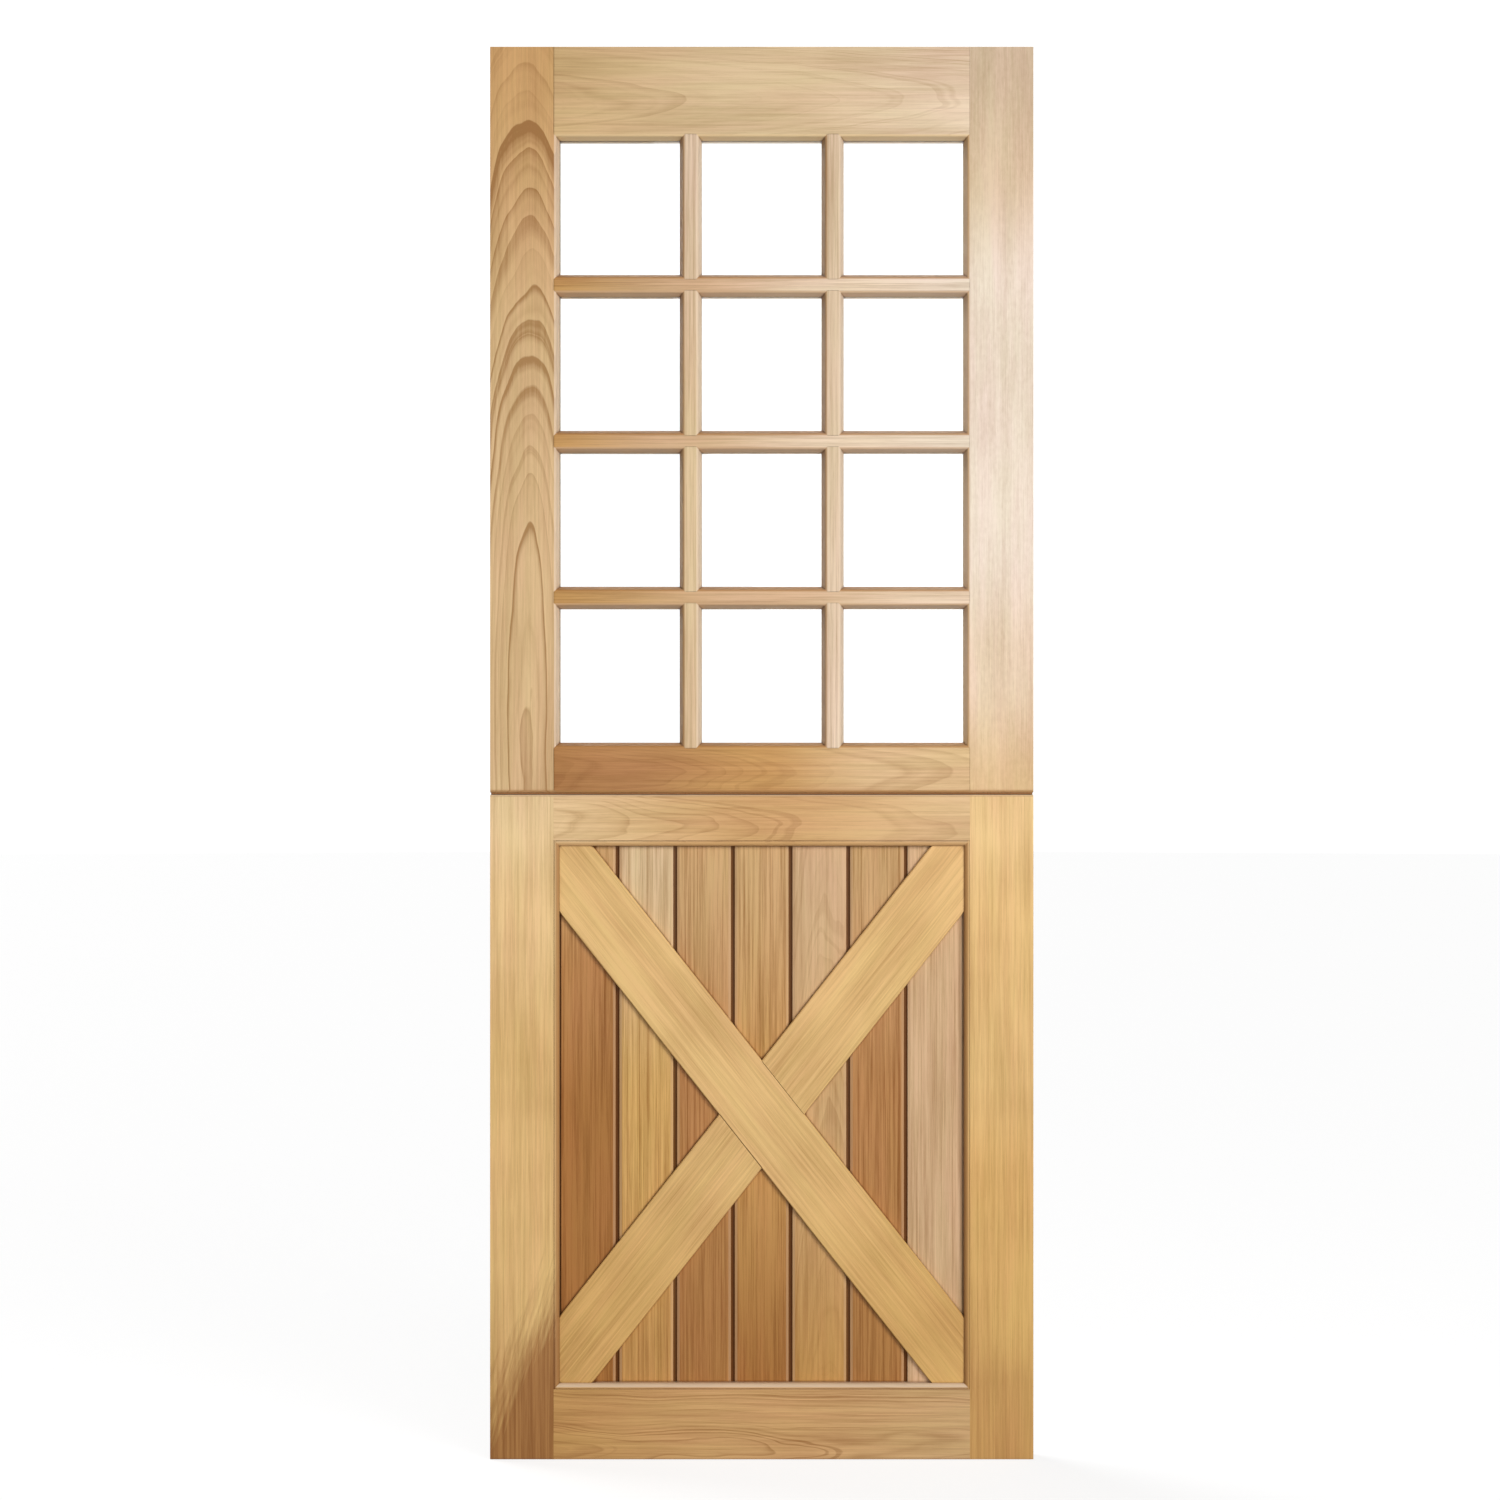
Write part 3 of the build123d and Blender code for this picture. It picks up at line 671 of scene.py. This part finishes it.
def oak(name, timber, seed, low, high):
    """Oiled oak for one timber: its grain, tones and crotch wood, painted light and shade on its turned
    faces and at the meeting gap, and painted shade in its crevices and board joints.
    """
    graph = Graph("oak_" + name)
    middle = (low + high) / 2
    if timber.run == "beads":
        place = bead_place(graph, middle)
    else:
        place = grain_place(graph, middle, TURNS[timber.run])
    shifted = seeded(graph, place, seed, GRAIN_SEED_STEPS)
    lines = ring_lines(graph, place, timber.figure, seed)
    streak = graph.noise(shifted, *STREAKS)
    fibre = graph.noise(shifted, *FIBRES)
    pores = graph.spread(graph.noise(shifted, *PORES), *PORE_RANGE)
    share = grain_share(graph, shifted, timber.figure, lines, streak, fibre, pores)
    reach = max(high - low) / MM / 2
    colour = wood_colour(graph, place, shifted, share, timber.tones, reach)
    if timber.crotch:
        crotch = crotch_wood(graph, place, timber.crotch, seed)
        burr = graph.mix(graph.spread(streak, *BURR_RANGE), RUSSET, KNOT)
        colour = graph.mix(graph.math("MULTIPLY", crotch, CROTCH_SHARE), colour, burr)
    # Painted light and shade where faces turn aside
    if timber.edges:
        colour = painted_light_and_shade(graph, colour, timber)
    # Painted shade above the meeting gap, painted highlight below it
    if name in PAINTED_GAP_BANDS:
        colour = painted_gap_band(graph, colour, *PAINTED_GAP_BANDS[name])
    # Painted shade in crevices and board joints
    colour = graph.mix(painted_crevice_shade(graph, timber), colour, SHADE_UMBER)
    fibre_height = graph.math("MULTIPLY", fibre, FIBRE_HEIGHT)
    ring_height = graph.math("MULTIPLY", lines, RING_HEIGHT)
    height = graph.math("SUBTRACT", graph.math("ADD", fibre_height, ring_height), pores)
    return graph.finish(
        Base_Color=colour,
        Roughness=graph.spread(streak, *OAK_ROUGHNESS),
        Normal=graph.bump(height, graph.rounded(OAK_ARRIS), OAK_BUMP_STRENGTH, OAK_BUMP_DEPTH),
        Specular_IOR_Level=timber.gloss,
    )


def clear_glass():
    """Float glass with the faintest green, wiped clean but for a trace of haze."""
    graph = Graph("clear_glass")
    haze = graph.noise(graph.rest(), *HAZE)
    return graph.finish(
        Base_Color=graph.mix(graph.spread(haze, *GREEN_RANGE), CLEAR, SEA_GREEN),
        Roughness=graph.spread(haze, *GLASS_ROUGHNESS),
        Transmission_Weight=1.0,
        IOR=GLASS_INDEX,
    )


def satin_steel(name, base, dull):
    """Satin steel, brushed along the hinge, duller in blotches and bright along its arrises."""
    graph = Graph(name)
    rest = graph.rest()
    brushing = graph.noise(rest, *BRUSHING)
    blotch = graph.noise(rest, *BLOTCHES)
    rounded = graph.rounded(STEEL_ARRIS)
    facing = graph.add("ShaderNodeNewGeometry", {}, "Normal")
    turned = graph.math("SUBTRACT", 1.0, graph.vector("DOT_PRODUCT", rounded, facing))
    colour = graph.mix(graph.spread(blotch, *DULL_RANGE), base, dull)
    roughness = graph.spread(blotch, *STEEL_ROUGHNESS)
    return graph.finish(
        Base_Color=graph.mix(graph.spread(turned, *WEAR), colour, WORN_STEEL),
        Roughness=graph.math("ADD", graph.swing(brushing, BRUSHING_DEPTH), roughness),
        Normal=graph.bump(brushing, rounded, STEEL_BUMP_STRENGTH, STEEL_BUMP_DEPTH),
        Metallic=1.0,
    )


def place_object(name, data):
    """A new object with this data, in the scene."""
    made = bpy.data.objects.new(name, data)
    bpy.context.scene.collection.objects.link(made)
    return made


def place_mesh(name, mesh, material):
    """A new object with this mesh, which is used up, and this material."""
    data = bpy.data.meshes.new(name)
    mesh.to_mesh(data)
    mesh.free()
    data.materials.append(material)
    return place_object(name, data)


def screw_head(name, place, turn, body, material):
    """A slotted countersunk head, flush but for its low crown, in the face of a leaf flap."""
    mesh = bmesh.new()
    half_slot = SCREW_SLOT_WIDTH / 2
    half_length = SCREW_HEAD_RADIUS - SCREW_SLOT_INSET
    slot_floor = SCREW_HEAD_PROUD - SCREW_SLOT_DEPTH
    start = math.asin(half_slot / SCREW_HEAD_RADIUS)
    steps = SCREW_SIDES // 2
    levels = (
        (SCREW_HEAD_RADIUS, 0.0),
        (SCREW_HEAD_RADIUS - SCREW_SHOULDER_WIDTH, SCREW_HEAD_PROUD * SCREW_SHOULDER_SHARE),
        (SCREW_HEAD_RADIUS * SCREW_TOP_SHARE, SCREW_HEAD_PROUD),
    )
    for side in (0.0, math.pi):
        angles = [side + start + (math.pi - 2 * start) * step / steps for step in range(steps + 1)]
        rim, shoulder, top = (
            [mesh.verts.new((radius * math.cos(a), radius * math.sin(a), height)) for a in angles]
            for radius, height in levels
        )
        for low_row, high_row in ((rim, shoulder), (shoulder, top)):
            for i in range(steps):
                mesh.faces.new((low_row[i], low_row[i + 1], high_row[i + 1], high_row[i]))
        mesh.faces.new(top)
        mesh.faces.new((rim[0], shoulder[0], top[0], top[-1], shoulder[-1], rim[-1]))
    corners = (
        (-half_length, -half_slot),
        (half_length, -half_slot),
        (half_length, half_slot),
        (-half_length, half_slot),
    )
    mesh.faces.new([mesh.verts.new((x, y, slot_floor)) for x, y in corners])
    bmesh.ops.recalc_face_normals(mesh, faces=mesh.faces)
    piece = place_mesh(name, mesh, material)
    outward = Matrix.Rotation(math.pi / 2, 4, "Y") @ Matrix.Rotation(turn, 4, "Z")
    piece.matrix_world = Matrix.Translation(place) @ outward @ Matrix.Scale(MM, 4)
    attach(piece, body)


def lipping(material):
    """A thin oak strip under the top leaf, rounded below, clear of the bottom leaf."""
    half_depth = LIPPING_DEPTH / 2
    half_length = LIPPING_LENGTH / 2
    round_middle = LIPPING_TOP - LIPPING_HEIGHT + LIPPING_ROUND
    section = [(half_depth, LIPPING_TOP), (-half_depth, LIPPING_TOP)]
    for side, start in ((-1, math.pi), (1, 1.5 * math.pi)):
        for step in range(LIPPING_ROUND_STEPS + 1):
            angle = start + math.pi / 2 * step / LIPPING_ROUND_STEPS
            y = side * (half_depth - LIPPING_ROUND) + LIPPING_ROUND * math.cos(angle)
            section.append((y, round_middle + LIPPING_ROUND * math.sin(angle)))
    mesh = bmesh.new()
    left, right = (
        [mesh.verts.new((x, y, z)) for y, z in section] for x in (-half_length, half_length)
    )
    for i in range(len(section)):
        mesh.faces.new((left[i], left[i - 1], right[i - 1], right[i]))
    mesh.faces.new(left)
    mesh.faces.new(right)
    bmesh.ops.recalc_face_normals(mesh, faces=mesh.faces)
    mesh.transform(Matrix.Scale(MM, 4))
    piece = place_mesh("meeting_lipping", mesh, material)
    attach(piece, "top_leaf")


def broad_light(name, source, width, strength):
    """A wide soft light, even over the whole door."""
    data = bpy.data.lights.new(name, "SUN")
    data.angle = math.radians(width)
    data.energy = strength
    lamp = place_object(name, data)
    lamp.rotation_euler = Vector(source).to_track_quat("Z", "Y").to_euler()


def soft_box(name, place, target_height, width, power):
    """A square light that looks at the door's middle line, at a height."""
    data = bpy.data.lights.new(name, "AREA")
    data.size = width
    data.energy = power
    lamp = place_object(name, data)
    lamp.location = place
    away = Vector(place) - Vector((0.0, 0.0, target_height))
    lamp.rotation_euler = away.to_track_quat("Z", "Y").to_euler()


def world():
    """White all round to the eye, and a weaker even fill as light."""
    made = bpy.data.worlds.new("studio")
    bpy.context.scene.world = made
    made.use_nodes = True
    tree = made.node_tree
    path = tree.nodes.new("ShaderNodeLightPath")
    seen = tree.nodes.new("ShaderNodeMath")
    seen.operation = "MAXIMUM"
    tree.links.new(path.outputs["Is Camera Ray"], seen.inputs[0])
    tree.links.new(path.outputs["Is Transmission Ray"], seen.inputs[1])
    level = tree.nodes.new("ShaderNodeMapRange")
    level.inputs["To Min"].default_value = WORLD_FILL
    level.inputs["To Max"].default_value = WORLD_SEEN
    tree.links.new(seen.outputs[0], level.inputs["Value"])
    background = next(n for n in tree.nodes if n.type == "BACKGROUND")
    background.inputs["Color"].default_value = (1.0, 1.0, 1.0, 1.0)
    tree.links.new(level.outputs[0], background.inputs["Strength"])


def floor():
    """A pale round floor, just under the door."""
    mesh = bmesh.new()
    bmesh.ops.create_circle(mesh, cap_ends=True, segments=FLOOR_SIDES, radius=FLOOR_RADIUS)
    pale = Graph("pale_floor").finish(
        Base_Color=(FLOOR_GREY, FLOOR_GREY, FLOOR_GREY, 1.0),
        Roughness=FLOOR_ROUGHNESS,
        Specular_IOR_Level=FLOOR_GLOSS,
        Emission_Strength=FLOOR_GLOW,
    )
    ground = place_mesh("floor", mesh, pale)
    ground.location = (0.0, 0.0, -FLOOR_DROP)
    ground.visible_diffuse = False


def camera():
    """Square on to the door, as in the photograph, with the door at the same place in the frame."""
    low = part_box("bottom_left_stile")[0]
    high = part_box("top_right_stile")[1]
    width = high.x - low.x
    height = high.z - low.z
    per_pixel = (width / (DOOR_RIGHT - DOOR_LEFT) + height / (DOOR_BOTTOM - DOOR_TOP)) / 2
    off_right = (DOOR_LEFT + DOOR_RIGHT - PHOTO_SIDE) / 2 * per_pixel
    off_down = (DOOR_TOP + DOOR_BOTTOM - PHOTO_SIDE) / 2 * per_pixel
    data = bpy.data.cameras.new("camera")
    data.sensor_width = SENSOR_WIDTH
    data.lens = SENSOR_WIDTH * VIEW_DISTANCE / (PHOTO_SIDE * per_pixel)
    eye = place_object("camera", data)
    middle = (low + high) / 2
    eye.location = (middle.x - off_right, low.y - VIEW_DISTANCE, middle.z + off_down)
    eye.rotation_euler = (math.pi / 2, 0.0, 0.0)
    bpy.context.scene.camera = eye


def dress(node, material):
    """Gives a CAD node its material."""
    for slot in nodes[node].material_slots:
        slot.material = material


# Timbers
seeds = {name: number for number, name in enumerate(TIMBERS, 1)}
for name, timber in TIMBERS.items():
    dress(name, oak(name, timber, seeds[SHARED_SEEDS.get(name, name)], *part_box(name)))
lipping(oak("lipping", LIPPING_TIMBER, LIPPING_SEED, *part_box("upper_meeting_rail")))

# Panes and hinges
glass = clear_glass()
hinge_steel = satin_steel("hinge_steel", STEEL, DULL_STEEL)
for name in nodes:
    if name.startswith("pane_"):
        dress(name, glass)
    elif name.endswith(("_flap", "_pin")):
        dress(name, hinge_steel)

# Screws
screw_steel = satin_steel("screw_steel", SCREW_STEEL, DULL_SCREW_STEEL)
screw_count = 0
for body, middles in HINGE_MIDDLES.items():
    for middle in middles:
        for depth, off_middle in SCREW_PLACES:
            for way in (-1, 1):
                screw_count += 1
                spot = Vector((LEAF_FLAP_FACE, depth, middle + way * off_middle)) * MM
                turn = screw_count * SCREW_TURN
                screw_head(f"leaf_flap_screw_{screw_count}", spot, turn, body, screw_steel)

# Studio
bpy.context.scene.view_settings.view_transform = "Standard"
world()
floor()
broad_light("key_light", *KEY_LIGHT)
broad_light("back_light", *BACK_LIGHT)
soft_box("high_box", *HIGH_BOX)
soft_box("low_box", *LOW_BOX)
camera()
